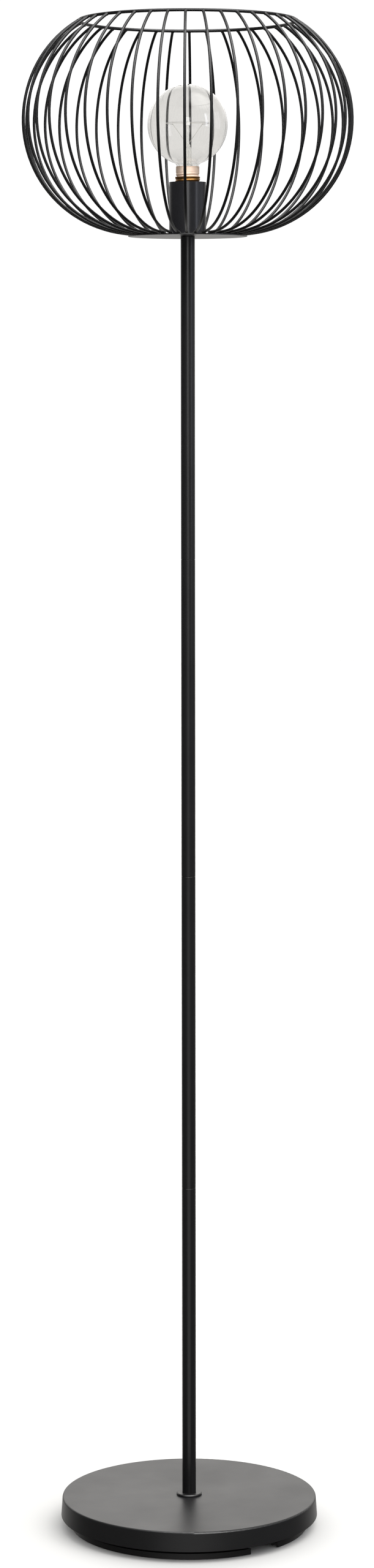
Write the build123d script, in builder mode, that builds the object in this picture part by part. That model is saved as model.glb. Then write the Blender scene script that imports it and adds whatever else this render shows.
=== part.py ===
from build123d import *
import os
from math import asin, cos, radians, sin, sqrt

os.makedirs("parts", exist_ok=True)

# A floor lamp: a weighted round base, a pole of four tubes screwed end to end, and an open
# cage of bent wires round a clear globe bulb. Millimetres, +Z up, front at -Y. The origin is
# on the pole's axis at floor level. Angles are counted from +X, turning towards +Y.

# ---------------------------------------------------------------- base sizes
cover_top_dia = 294.8  # flat top of the pressed cover
cover_draft = 1.6  # how far its side leans out on the way down
cover_height = 22.3
cover_lift = 13.0  # the cover's lower edge above the floor
cover_sheet = 1.2
cover_edge_radius = 2.0

weight_thickness = 11.0  # cast-iron disc that fills the cover's top
weight_side_gap = 1.2
weight_edge = 1.5
weight_recess_dia = 46.0  # room for the nut and washers
weight_recess_depth = 4.0
channel_width = 8.0  # groove that leads the flex from the centre to its outlet
channel_depth = 6.0

tray_wall = 2.0
tray_side_gap = 1.0
tray_inset = 0.7  # the deck lies this far above the cover's lower edge
foot_inset = 9.9  # from the cover's top edge in to the foot ring
foot_band = 11.5  # width of the foot ring
foot_wall = 2.5
foot_top = 7.3
web_thickness = 2.2
neck_wall = 2.5
rib_count = 12
rib_thickness = 1.6
rib_height = 4.0
rib_start_dia = 56.0
notch_width = 40.0

pad_count = 6
pad_span = 24.0  # degrees of the ring that one pad takes
pad_thickness = 3.0
pad_stand = 0.8  # the pads hold the foot ring this far off the floor
pad_gap = 0.2

outlet_angle = -51.0  # right of the front, where the foot ring is cut away
outlet_radius = 112.0
bushing_bore = 6.0
bushing_wall = 1.4
bushing_flange = 2.2
bushing_lip = 1.2

screw_circle_dia = 200.0  # the screws that hold the tray stand on it
screw_count = 4
screw_dia = 3.8
screw_head_dia = 7.6
screw_head_height = 2.4
screw_bite = 6.0  # how far a screw goes into the weight
pillar_dia = 9.0
screw_clearance = 0.3

collar_dia = 29.4
collar_height = 2.6
collar_floor = 0.8
collar_chamfer = 0.9

# ---------------------------------------------------------------- pole sizes
pole_dia = 16.0
pole_wall = 1.2
pole_sections = 4
pole_section_length = 362.5
pole_end_chamfer = 0.3
insert_length = 15.0  # threaded inserts pressed into the tube ends
press_gap = 0.02
stud_dia = 10.0  # hollow threaded studs, all of one diameter
stud_bore = 7.0
thread_gap = 0.05
stud_length = 26.0  # between two pole sections
hole_gap = 0.3
nut_across = 14.0
nut_height = 4.0
washer_dia = 32.0
washer_thickness = 2.0
lock_washer_dia = 18.0
lock_washer_thickness = 0.8
stud_past_nut = 1.5

# ---------------------------------------------------------------- cage sizes
plate_dia = 134.0
plate_sheet = 1.5
cage_dia = 372.6  # over the wires at their widest
landing_dia = 116.6  # circle on which the wires lie down on the plate
wire_dia = 3.2
wire_count = 40
wire_sets = 10
wire_tail = 4.0
first_wire_angle = -91.0  # one degree left of the front
ring_dia = 242.6  # on the ring's centre line
ring_wire_dia = 3.6

# ---------------------------------------------------------------- holder sizes
sleeve_dia = 41.6
sleeve_height = 59.1
sleeve_wall = 1.0
sleeve_corner = 1.5
holder_gap = 0.5  # between the holder and the sleeve round it
dome_dia = 35.0
dome_boss_dia = 18.0
dome_boss_height = 6.0
dome_height = 19.0
dome_wall = 2.2
stud_in_dome = 8.0
insert_disc_dia = 34.0
insert_disc_height = 13.0
insert_boss_dia = 18.0
insert_boss_height = 6.0
lead_hole_dia = 3.4
lead_hole_circle_dia = 22.0
skirt_chamfer = 0.6
skirt_top_gap = 0.6
shell_sheet = 0.5  # brass thread shell
shell_stand = 5.8  # how far it rises above the sleeve
shell_flange = 2.0
contact_width = 5.0
contact_sheet = 0.5
contact_gap = 0.2
contact_inset = 1.0  # from the boss's edge to the contact strip's fixed end
contact_bend_x = 4.5  # where the strip turns up
contact_rise_x = 6.0
contact_end_x = -3.0
terminal_dia = 3.0
terminal_head_dia = 5.4
terminal_head_height = 2.0
terminal_length = 7.0

# ---------------------------------------------------------------- bulb sizes
cap_dia = 26.3
cap_sheet = 0.4
cap_length = 22.2
cap_over_shell = 11.6  # the cap's top above the thread shell's rim
cap_gap = 0.35
insulator_height = 2.8
tip_dia = 9.0
tip_height = 1.4
globe_dia = 90.0
glass_wall = 0.8
neck_dia = 24.8
neck_bend = 4.0
glass_in_cap = 6.0
cement_inset = 0.6
stem_tube_dia = 9.0
stem_tube_wall = 1.0
stem_flare_height = 12.0
stem_tube_height = 14.0
stem_press_height = 6.0
stem_rod_dia = 3.4
stem_rod_height = 22.0
stem_button_dia = 5.4
filament_dia = 0.9
filament_ring_dia = 48.0
filament_sweep = 270.0
support_dia = 0.6
support_count = 5
lead_dia = 0.8

# ---------------------------------------------------------------- heights that follow
cover_mouth_dia = cover_top_dia + 2 * cover_draft
foot_radius = cover_top_dia / 2 - foot_inset
cover_top_z = cover_lift + cover_height
weight_top_z = cover_top_z - cover_sheet
weight_low_z = weight_top_z - weight_thickness
weight_dia = cover_top_dia - 2 * cover_sheet - 2 * weight_side_gap
deck_z = cover_lift + tray_inset
pole_foot_z = cover_top_z + collar_floor
pole_top_z = pole_foot_z + pole_sections * pole_section_length
plate_top_z = pole_top_z + plate_sheet
stud_hole_dia = stud_dia + 2 * hole_gap

# ================================================================ base
# The cover is pressed from sheet: flat top, drafted side, open mouth downwards.
with BuildPart() as base_cover:
    with BuildSketch(Plane.XY.offset(cover_top_z)):
        Circle(cover_top_dia / 2)
    with BuildSketch(Plane.XY.offset(cover_lift)):
        Circle(cover_mouth_dia / 2)
    loft()
    top_rim = base_cover.edges().group_by(Axis.Z)[-1]
    fillet(top_rim, radius=cover_edge_radius)
    mouth = base_cover.faces().sort_by(Axis.Z)[0]
    offset(amount=-cover_sheet, openings=mouth)
    with Locations((0, 0, cover_top_z)):
        Hole(stud_hole_dia / 2, depth=2 * cover_sheet)

# The weight is a cast disc under the cover's top. Its underside has a round recess for the nut
# and a groove for the flex, and is tapped for the tray's screws.
screw_angle = outlet_angle + 2 * 360 / rib_count
with BuildPart() as base_weight:
    with BuildSketch(Plane.XY.offset(weight_low_z)):
        Circle(weight_dia / 2)
    extrude(amount=weight_thickness)
    rims = base_weight.edges()
    chamfer(rims, length=weight_edge)
    with BuildSketch(Plane.XY.offset(weight_low_z)):
        Circle(weight_recess_dia / 2)
    extrude(amount=weight_recess_depth, mode=Mode.SUBTRACT)
    with BuildSketch(Plane.XY.offset(weight_low_z)):
        with PolarLocations(outlet_radius / 2, 1, start_angle=outlet_angle):
            SlotOverall(outlet_radius + channel_width, channel_width)
    extrude(amount=channel_depth, mode=Mode.SUBTRACT)
    with BuildSketch(Plane.XY.offset(weight_low_z)):
        with PolarLocations(screw_circle_dia / 2, screw_count, start_angle=screw_angle):
            Circle(screw_dia / 2 + thread_gap)
    extrude(amount=screw_bite + screw_clearance, mode=Mode.SUBTRACT)
    with Locations((0, 0, weight_top_z)):
        Hole(stud_hole_dia / 2, depth=weight_thickness)

# The moulded tray closes the base from below: a ribbed deck, a recessed neck and a foot ring of
# H section, cut away where the flex leaves.
foot_inner_radius = foot_radius - foot_band
web_z = pad_thickness
neck_inner_radius = (foot_radius + foot_inner_radius - neck_wall) / 2
deck_radius = cover_mouth_dia / 2 - cover_sheet - tray_side_gap
rib_length = neck_inner_radius - rib_start_dia / 2
bushing_radius = bushing_bore / 2 + bushing_wall
with BuildPart() as base_tray:
    with BuildSketch(Plane.XZ):
        with Locations((0, deck_z)):
            Rectangle(deck_radius, tray_wall, align=Align.MIN)
        with Locations((neck_inner_radius, web_z)):
            Rectangle(neck_wall, deck_z - web_z, align=Align.MIN)
        with Locations((foot_inner_radius, web_z)):
            Rectangle(foot_band, web_thickness, align=Align.MIN)
        with Locations((foot_inner_radius, pad_stand), (foot_radius - foot_wall, pad_stand)):
            Rectangle(foot_wall, foot_top - pad_stand, align=Align.MIN)
    revolve(axis=Axis.Z)
    with BuildSketch(Plane.XY.offset(deck_z - rib_height)):
        with PolarLocations(
            rib_start_dia / 2 + rib_length / 2, rib_count, start_angle=outlet_angle + 180 / rib_count
        ):
            Rectangle(rib_length + neck_wall, rib_thickness)
    extrude(amount=rib_height)
    with BuildSketch(Plane.XY.offset(deck_z + tray_wall)):
        with PolarLocations(screw_circle_dia / 2, screw_count, start_angle=screw_angle):
            Circle(pillar_dia / 2)
    extrude(amount=weight_low_z - deck_z - tray_wall)
    with PolarLocations(screw_circle_dia / 2, screw_count, start_angle=screw_angle):
        with Locations(Location((0, 0, deck_z), (180, 0, 0))):
            CounterSinkHole(
                screw_dia / 2 + screw_clearance,
                screw_head_dia / 2 + screw_clearance,
                depth=weight_low_z - deck_z,
            )
    with BuildSketch(Plane.XY.offset(deck_z)):
        with PolarLocations(outlet_radius, 1, start_angle=outlet_angle):
            Circle(bushing_radius)
    extrude(amount=tray_wall, mode=Mode.SUBTRACT)
    with BuildSketch(Plane.XY):
        with PolarLocations(foot_radius - foot_band / 2, 1, start_angle=outlet_angle):
            Rectangle(2 * foot_band, notch_width)
    extrude(amount=deck_z, mode=Mode.SUBTRACT)

# Rubber pads are pressed up into the foot ring's channel and carry the lamp.
pad_outer = foot_radius - foot_wall - pad_gap
pad_inner = foot_inner_radius + foot_wall + pad_gap
with BuildPart() as foot_pads:
    with BuildSketch():
        for number in range(pad_count):
            pad_middle = outlet_angle + (number + 0.5) * 360 / pad_count
            with BuildLine():
                CenterArc((0, 0), (pad_outer + pad_inner) / 2, pad_middle - pad_span / 2, pad_span)
            trace(line_width=pad_outer - pad_inner)
    extrude(amount=pad_thickness)

# A flanged rubber bushing lines the outlet hole in the tray's deck.
outlet_way = Vector(cos(radians(outlet_angle)), sin(radians(outlet_angle)), 0)
outlet_side = Vector(outlet_way.Y, -outlet_way.X, 0)
outlet_point = outlet_way * outlet_radius
with BuildPart() as cable_bushing:
    with BuildSketch(Plane(outlet_point, x_dir=outlet_way, z_dir=outlet_side)):
        with Locations((bushing_bore / 2, deck_z - bushing_lip)):
            Rectangle(bushing_wall, tray_wall + 2 * bushing_lip, align=Align.MIN)
        with Locations(
            (bushing_bore / 2, deck_z - bushing_lip), (bushing_bore / 2, deck_z + tray_wall)
        ):
            Rectangle(bushing_wall + bushing_flange, bushing_lip, align=Align.MIN)
    revolve(axis=Axis(outlet_point, (0, 0, 1)))

# Countersunk screws hold the tray's pillars against the weight.
with BuildPart() as tray_screws:
    screw_length = weight_low_z - deck_z + screw_bite
    with BuildSketch(Plane.XZ):
        with BuildLine():
            Polyline(
                (0, 0),
                (screw_head_dia / 2, 0),
                (screw_dia / 2, screw_head_height),
                (screw_dia / 2, screw_length),
                (0, screw_length),
                close=True,
            )
        make_face()
    screw = revolve(axis=Axis.Z, mode=Mode.PRIVATE)
    with Locations((0, 0, deck_z)):
        with PolarLocations(screw_circle_dia / 2, screw_count, start_angle=screw_angle):
            add(screw)

# Under the weight: a broad washer, a spring washer and the nut that clamps the whole base.
recess_z = weight_low_z + weight_recess_depth
with BuildPart() as base_washer:
    with BuildSketch(Plane.XY.offset(recess_z - washer_thickness)):
        Circle(washer_dia / 2)
        Circle(stud_hole_dia / 2, mode=Mode.SUBTRACT)
    extrude(amount=washer_thickness)

lock_washer_z = recess_z - washer_thickness - lock_washer_thickness
with BuildPart() as base_lock_washer:
    with BuildSketch(Plane.XY.offset(lock_washer_z)):
        Circle(lock_washer_dia / 2)
        Circle(stud_hole_dia / 2, mode=Mode.SUBTRACT)
    extrude(amount=lock_washer_thickness)

base_nut_z = lock_washer_z - nut_height
with BuildPart() as base_nut:
    with BuildSketch(Plane.XY.offset(base_nut_z)):
        RegularPolygon(nut_across / 2, 6, major_radius=False)
        Circle(stud_dia / 2 + thread_gap, mode=Mode.SUBTRACT)
    extrude(amount=nut_height)

# The dished collar seats the pole's end on the cover.
with BuildPart() as base_collar:
    with BuildSketch(Plane.XY.offset(cover_top_z)):
        Circle(collar_dia / 2)
    extrude(amount=collar_height)
    collar_rim = base_collar.edges().group_by(Axis.Z)[-1]
    chamfer(collar_rim, length=collar_chamfer)
    with BuildSketch(Plane.XY.offset(pole_foot_z)):
        Circle(pole_dia / 2 + hole_gap / 2)
    extrude(amount=collar_height, mode=Mode.SUBTRACT)
    with BuildSketch(Plane.XY.offset(cover_top_z)):
        Circle(stud_hole_dia / 2)
    extrude(amount=collar_height, mode=Mode.SUBTRACT)

# ================================================================ pole
# Four steel tubes stand end to end; only their joints show as fine lines.
pole_tubes = []
for number in range(pole_sections):
    with BuildPart() as pole_section:
        with BuildSketch(Plane.XY.offset(pole_foot_z + number * pole_section_length)):
            Circle(pole_dia / 2)
            Circle(pole_dia / 2 - pole_wall, mode=Mode.SUBTRACT)
        extrude(amount=pole_section_length)
        tube_ends = pole_section.edges().filter_by(GeomType.CIRCLE)
        chamfer(tube_ends.sort_by(SortBy.RADIUS)[-2:], length=pole_end_chamfer)
    pole_tubes.append(pole_section.part)


def threaded_inserts(first_z):
    """One insert in every tube, the lowest at first_z."""
    with BuildPart() as inserts:
        for number in range(pole_sections):
            with BuildSketch(Plane.XY.offset(first_z + number * pole_section_length)):
                Circle(pole_dia / 2 - pole_wall - press_gap)
                Circle(stud_dia / 2 + thread_gap, mode=Mode.SUBTRACT)
            extrude(amount=insert_length)
    return inserts.part


lower_inserts = threaded_inserts(pole_foot_z)
upper_inserts = threaded_inserts(pole_foot_z + pole_section_length - insert_length)


def hollow_stud(low_z, high_z):
    """A length of hollow threaded stud on the lamp's axis."""
    with BuildPart() as stud:
        with BuildSketch(Plane.XY.offset(low_z)):
            Circle(stud_dia / 2)
            Circle(stud_bore / 2, mode=Mode.SUBTRACT)
        extrude(amount=high_z - low_z)
    return stud.part


base_stud = hollow_stud(base_nut_z - stud_past_nut, pole_foot_z + stud_length / 2)
joint_studs = Part() + [
    hollow_stud(joint_z - stud_length / 2, joint_z + stud_length / 2)
    for joint_z in (
        pole_foot_z + number * pole_section_length for number in range(1, pole_sections)
    )
]

# ================================================================ cage
# The plate is a plain sheet disc, clamped between the pole and the holder's sleeve.
with BuildPart() as cage_plate:
    with BuildSketch(Plane.XY.offset(pole_top_z)):
        Circle(plate_dia / 2)
        Circle(stud_hole_dia / 2, mode=Mode.SUBTRACT)
    extrude(amount=plate_sheet)

# Each wire lies down on the plate and sweeps out, up and in again as one arc. The ring's centre
# line lies on that arc, and every wire's end is coped to sit against the ring.
landing_radius = landing_dia / 2
ring_radius = ring_dia / 2
wire_low_z = plate_top_z + wire_dia / 2
wire_arc_radius = (cage_dia - wire_dia) / 2 - landing_radius
wire_arc_z = wire_low_z + wire_arc_radius
ring_z = wire_arc_z + sqrt(wire_arc_radius**2 - (ring_radius - landing_radius) ** 2)
with BuildPart() as cage_ring:
    with BuildSketch(Plane.XZ):
        with Locations((ring_radius, ring_z)):
            Circle(ring_wire_dia / 2)
    revolve(axis=Axis.Z)

with BuildPart() as wire:
    with BuildLine(Plane.XZ) as wire_path:
        Line((landing_radius - wire_tail, wire_low_z), (landing_radius, wire_low_z))
        TangentArc((landing_radius, wire_low_z), (ring_radius, ring_z), tangent=(1, 0))
    with BuildSketch(Plane.YZ.offset(landing_radius - wire_tail)):
        with Locations((0, wire_low_z)):
            Circle(wire_dia / 2)
    sweep()
    add(cage_ring.part, mode=Mode.SUBTRACT)

# A set holds every tenth wire, so its wires stand a quarter turn apart.
wire_pitch = 360 / wire_count
wire_groups = []
for number in range(wire_sets):
    with BuildPart() as wire_set:
        with PolarLocations(
            0, wire_count // wire_sets, start_angle=first_wire_angle + number * wire_pitch
        ):
            add(wire.part)
    wire_groups.append(wire_set.part)

# ================================================================ holder
# The sleeve is a deep drawn cup that stands on the plate and hides the holder.
sleeve_top_z = plate_top_z + sleeve_height
sleeve_floor_z = plate_top_z + sleeve_wall
with BuildPart() as holder_sleeve:
    with BuildSketch(Plane.XY.offset(plate_top_z)):
        Circle(sleeve_dia / 2)
    extrude(amount=sleeve_height)
    sleeve_foot = holder_sleeve.edges().group_by(Axis.Z)[0]
    fillet(sleeve_foot, radius=sleeve_corner)
    sleeve_mouth = holder_sleeve.faces().sort_by(Axis.Z)[-1]
    offset(amount=-sleeve_wall, openings=sleeve_mouth)
    with Locations((0, 0, sleeve_floor_z)):
        Hole(stud_hole_dia / 2, depth=2 * sleeve_wall)

# A nut on the stud clamps sleeve and plate to the pole.
with BuildPart() as holder_nut:
    with BuildSketch(Plane.XY.offset(sleeve_floor_z)):
        RegularPolygon(nut_across / 2, 6, major_radius=False)
        Circle(stud_dia / 2 + thread_gap, mode=Mode.SUBTRACT)
    extrude(amount=nut_height)

dome_z = sleeve_floor_z + nut_height
holder_stud = hollow_stud(pole_top_z - stud_length / 2, dome_z + stud_in_dome)

# The moulded dome screws onto the stud and carries the porcelain insert.
insert_z = dome_z + dome_height
with BuildPart() as holder_dome:
    with BuildSketch(Plane.XZ):
        with BuildLine():
            Polyline(
                (stud_dia / 2 + thread_gap, dome_z),
                (dome_boss_dia / 2, dome_z),
                (dome_boss_dia / 2, dome_z + dome_boss_height),
                (dome_dia / 2, dome_z + 2 * dome_boss_height),
                (dome_dia / 2, insert_z),
                (dome_dia / 2 - dome_wall, insert_z),
                (dome_dia / 2 - dome_wall, dome_z + 2 * dome_boss_height + dome_wall / 2),
                (dome_boss_dia / 2 - dome_wall, dome_z + dome_boss_height + dome_wall),
                (stud_dia / 2 + thread_gap, dome_z + dome_boss_height + dome_wall),
                close=True,
            )
        make_face()
    revolve(axis=Axis.Z)

# The porcelain insert: a disc with a raised boss, two lead holes and two terminal screws.
insert_top_z = insert_z + insert_disc_height
boss_top_z = insert_top_z + insert_boss_height
with BuildPart() as holder_insert:
    with BuildSketch(Plane.XY.offset(insert_z)):
        Circle(insert_disc_dia / 2)
    extrude(amount=insert_disc_height)
    with BuildSketch(Plane.XY.offset(insert_top_z)):
        Circle(insert_boss_dia / 2)
    extrude(amount=insert_boss_height)
    with BuildSketch(Plane.XY.offset(insert_z)):
        with PolarLocations(lead_hole_circle_dia / 2, 2, start_angle=90):
            Circle(lead_hole_dia / 2)
    extrude(amount=insert_disc_height, mode=Mode.SUBTRACT)
    with BuildSketch(Plane.XY.offset(insert_z)):
        with PolarLocations(lead_hole_circle_dia / 2, 2):
            Circle(terminal_dia / 2 + thread_gap)
    extrude(amount=terminal_length, mode=Mode.SUBTRACT)

# The brass thread shell stands on the insert by its flange and rises out of the sleeve.
shell_inner_radius = cap_dia / 2 + cap_gap
shell_outer_radius = shell_inner_radius + shell_sheet
shell_top_z = sleeve_top_z + shell_stand
with BuildPart() as holder_thread_shell:
    with BuildSketch(Plane.XZ):
        with Locations((shell_inner_radius, insert_top_z)):
            Rectangle(shell_sheet, shell_top_z - insert_top_z, align=Align.MIN)
            Rectangle(shell_sheet + shell_flange, shell_sheet, align=Align.MIN)
    revolve(axis=Axis.Z)

# The moulded skirt screws over the insert and holds the thread shell down by its flange.
skirt_radius = sleeve_dia / 2 - sleeve_wall - holder_gap
skirt_top_z = sleeve_top_z - skirt_top_gap
flange_top_z = insert_top_z + shell_sheet
with BuildPart() as holder_skirt:
    with BuildSketch(Plane.XY.offset(insert_z)):
        Circle(skirt_radius)
        Circle(insert_disc_dia / 2 + thread_gap, mode=Mode.SUBTRACT)
    extrude(amount=flange_top_z - insert_z)
    with BuildSketch(Plane.XY.offset(flange_top_z)):
        Circle(skirt_radius)
        Circle(shell_outer_radius + thread_gap, mode=Mode.SUBTRACT)
    extrude(amount=skirt_top_z - flange_top_z)
    skirt_rim = holder_skirt.edges().group_by(Axis.Z)[-1]
    chamfer(skirt_rim, length=skirt_chamfer)

# The bulb's cap sits over the thread shell's rim by a set amount, which fixes the contact.
cap_top_z = shell_top_z + cap_over_shell
cap_low_z = cap_top_z - cap_length
tip_z = cap_low_z - insulator_height - tip_height

# The centre contact is a bent spring strip on the boss, just under the bulb's tip.
strip_z = boss_top_z + contact_sheet / 2
rise_z = tip_z - contact_gap - contact_sheet / 2
with BuildPart() as holder_centre_contact:
    with BuildSketch(Plane.XZ):
        with BuildLine():
            FilletPolyline(
                (contact_inset - insert_boss_dia / 2, strip_z),
                (contact_bend_x, strip_z),
                (contact_rise_x, rise_z),
                (contact_end_x, rise_z),
                radius=contact_sheet,
            )
        trace(line_width=contact_sheet)
    extrude(amount=contact_width / 2, both=True)

# The side contact is a strip on the insert that reaches the thread shell's foot.
with BuildPart() as holder_side_contact:
    with BuildSketch(Plane.XY.offset(insert_top_z)):
        with Locations((shell_inner_radius / 2, 0)):
            Rectangle(shell_inner_radius, contact_width)
        Circle(shell_inner_radius - thread_gap, mode=Mode.INTERSECT)
        Circle(insert_boss_dia / 2 + thread_gap, mode=Mode.SUBTRACT)
    extrude(amount=contact_sheet)

# Terminal screws clamp the leads under the insert.
with BuildPart() as terminal_screws:
    with BuildSketch(Plane.XY.offset(insert_z)):
        with PolarLocations(lead_hole_circle_dia / 2, 2):
            Circle(terminal_dia / 2)
    extrude(amount=terminal_length - screw_clearance)
    with BuildSketch(Plane.XY.offset(insert_z - terminal_head_height)):
        with PolarLocations(lead_hole_circle_dia / 2, 2):
            Circle(terminal_head_dia / 2)
    extrude(amount=terminal_head_height)

# ================================================================ bulb
# A clear globe on a screw cap. It is one unit that unscrews and lifts out through the ring.
with BuildPart() as bulb_cap:
    with BuildSketch(Plane.XY.offset(cap_low_z)):
        Circle(cap_dia / 2)
        Circle(cap_dia / 2 - cap_sheet, mode=Mode.SUBTRACT)
    extrude(amount=cap_length)

# Black glass closes the cap's lower end round the centre contact.
with BuildPart() as bulb_insulator:
    with BuildSketch(Plane.XZ):
        with BuildLine():
            Polyline(
                (0, cap_low_z - insulator_height),
                (tip_dia / 2, cap_low_z - insulator_height),
                (cap_dia / 2 - cap_sheet, cap_low_z),
                (cap_dia / 2 - cap_sheet, cap_low_z + insulator_height / 2),
                (0, cap_low_z + insulator_height / 2),
                close=True,
            )
        make_face()
    revolve(axis=Axis.Z)

with BuildPart() as bulb_tip:
    with BuildSketch(Plane.XY.offset(tip_z)):
        Circle(tip_dia / 2)
    extrude(amount=tip_height)
    tip_rim = bulb_tip.edges().group_by(Axis.Z)[0]
    fillet(tip_rim, radius=tip_height / 2)

# The globe: a ball that turns through a short bend into a straight neck inside the cap.
neck_end_z = cap_top_z - glass_in_cap
bend_reach = neck_dia / 2 + neck_bend
globe_z = cap_top_z + sqrt((globe_dia / 2 + neck_bend) ** 2 - bend_reach**2)
bend_angle = asin(bend_reach / (globe_dia / 2 + neck_bend))


def globe_half(inset, low_z):
    """Half section of the globe and neck, drawn inside the outer surface by inset."""
    ball = globe_dia / 2 - inset
    neck = neck_dia / 2 - inset
    touch = (ball * sin(bend_angle), globe_z - ball * cos(bend_angle))
    with BuildSketch(Plane.XZ) as half:
        with BuildLine():
            Line((0, low_z), (neck, low_z))
            Line((neck, low_z), (neck, cap_top_z))
            bend = TangentArc((neck, cap_top_z), touch, tangent=(0, 1))
            TangentArc(touch, (0, globe_z + ball), tangent=bend % 1)
            Line((0, globe_z + ball), (0, low_z))
        make_face()
    return half.sketch


outer_half = globe_half(0, neck_end_z)
inner_half = globe_half(glass_wall, neck_end_z - glass_wall)
with BuildPart() as bulb_glass:
    revolve(outer_half, axis=Axis.Z)
    revolve(inner_half, axis=Axis.Z, mode=Mode.SUBTRACT)

# Basing cement fixes the neck in the cap.
with BuildPart() as bulb_cement:
    with BuildSketch(Plane.XY.offset(neck_end_z)):
        Circle(cap_dia / 2 - cap_sheet)
        Circle(neck_dia / 2, mode=Mode.SUBTRACT)
    extrude(amount=glass_in_cap - cement_inset)

# The stem is a flared glass tube, pinched shut, with a solid rod and button above.
stem_flare_z = neck_end_z + stem_flare_height
stem_press_z = stem_flare_z + stem_tube_height
stem_rod_z = stem_press_z + stem_press_height
stem_top_z = stem_rod_z + stem_rod_height
flare_radius = neck_dia / 2 - glass_wall - thread_gap
tube_radius = stem_tube_dia / 2
tube_bore = tube_radius - stem_tube_wall
with BuildPart() as bulb_stem:
    with BuildSketch(Plane.XZ):
        with BuildLine():
            flare = TangentArc(
                (tube_radius, stem_flare_z), (flare_radius, neck_end_z), tangent=(0, -1)
            )
            Line(flare @ 1, (flare_radius - stem_tube_wall, neck_end_z))
            TangentArc(
                (tube_bore, stem_flare_z),
                (flare_radius - stem_tube_wall, neck_end_z),
                tangent=(0, -1),
            )
            Polyline(
                (tube_bore, stem_flare_z),
                (tube_bore, stem_press_z),
                (0, stem_press_z),
                (0, stem_top_z),
                (stem_rod_dia / 2, stem_top_z),
                (stem_rod_dia / 2, stem_rod_z),
                (tube_radius, stem_press_z),
                (tube_radius, stem_flare_z),
            )
        make_face()
    revolve(axis=Axis.Z)
    with Locations((0, 0, stem_top_z)):
        Sphere(stem_button_dia / 2)

# The filament hangs in a wreath round the stem's button, open at the back.
filament_radius = filament_ring_dia / 2
filament_start = 90 + (360 - filament_sweep) / 2
with BuildPart() as bulb_filament:
    with BuildLine(Plane.XY.offset(stem_top_z)):
        wreath = CenterArc((0, 0), filament_radius, filament_start, filament_sweep)
    with BuildSketch(Plane(wreath @ 0, z_dir=wreath % 0)):
        Circle(filament_dia / 2)
    sweep()

# Thin wires from the button hold the wreath.
support_length = filament_radius - filament_dia / 2 - stem_button_dia / 2
with BuildPart() as bulb_supports:
    support_step = filament_sweep / (support_count + 1)
    for number in range(support_count):
        support_angle = radians(filament_start + (number + 1) * support_step)
        towards = Vector(cos(support_angle), sin(support_angle), 0)
        from_point = Vector(0, 0, stem_top_z) + towards * stem_button_dia / 2
        with BuildSketch(Plane(from_point, z_dir=towards)):
            Circle(support_dia / 2)
        extrude(amount=support_length)

# Two leads come out of the pinch and run to the filament's ends.
with BuildPart() as bulb_leads:
    for lead_angle in (filament_start, filament_start + filament_sweep):
        outward = Vector(cos(radians(lead_angle)), sin(radians(lead_angle)), 0)
        lead_low = Vector(0, 0, stem_rod_z) + outward * (stem_rod_dia + lead_dia) / 2
        lead_high = Vector(0, 0, stem_top_z - (filament_dia + lead_dia) / 2)
        lead_high = lead_high + outward * filament_radius
        with BuildSketch(Plane(lead_low, z_dir=lead_high - lead_low)):
            Circle(lead_dia / 2)
        extrude(amount=(lead_high - lead_low).length)

# ================================================================ output
pieces = {
    "base_cover": base_cover.part,
    "base_weight": base_weight.part,
    "base_tray": base_tray.part,
    "foot_pads": foot_pads.part,
    "cable_bushing": cable_bushing.part,
    "tray_screws": tray_screws.part,
    "base_washer": base_washer.part,
    "base_lock_washer": base_lock_washer.part,
    "base_nut": base_nut.part,
    "base_stud": base_stud,
    "base_collar": base_collar.part,
    "pole_lower_inserts": lower_inserts,
    "pole_upper_inserts": upper_inserts,
    "pole_joint_studs": joint_studs,
    "cage_plate": cage_plate.part,
    "cage_ring": cage_ring.part,
    "holder_sleeve": holder_sleeve.part,
    "holder_nut": holder_nut.part,
    "holder_stud": holder_stud,
    "holder_dome": holder_dome.part,
    "holder_insert": holder_insert.part,
    "holder_thread_shell": holder_thread_shell.part,
    "holder_skirt": holder_skirt.part,
    "holder_centre_contact": holder_centre_contact.part,
    "holder_side_contact": holder_side_contact.part,
    "terminal_screws": terminal_screws.part,
    "bulb_cap": bulb_cap.part,
    "bulb_insulator": bulb_insulator.part,
    "bulb_tip": bulb_tip.part,
    "bulb_glass": bulb_glass.part,
    "bulb_cement": bulb_cement.part,
    "bulb_stem": bulb_stem.part,
    "bulb_filament": bulb_filament.part,
    "bulb_supports": bulb_supports.part,
    "bulb_leads": bulb_leads.part,
}
for number, tube in enumerate(pole_tubes, start=1):
    pieces[f"pole_section_{number}"] = tube
for number, group in enumerate(wire_groups, start=1):
    pieces[f"cage_wires_{number:02d}"] = group

for name, piece in pieces.items():
    piece.label = name
    export_step(piece, f"parts/{name}.step")
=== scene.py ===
"""A wire cage floor lamp in a plain pale studio. Shapes are in metres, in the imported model's frame."""

from math import atan, cos, pi, radians, sin, sqrt, tau

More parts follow.
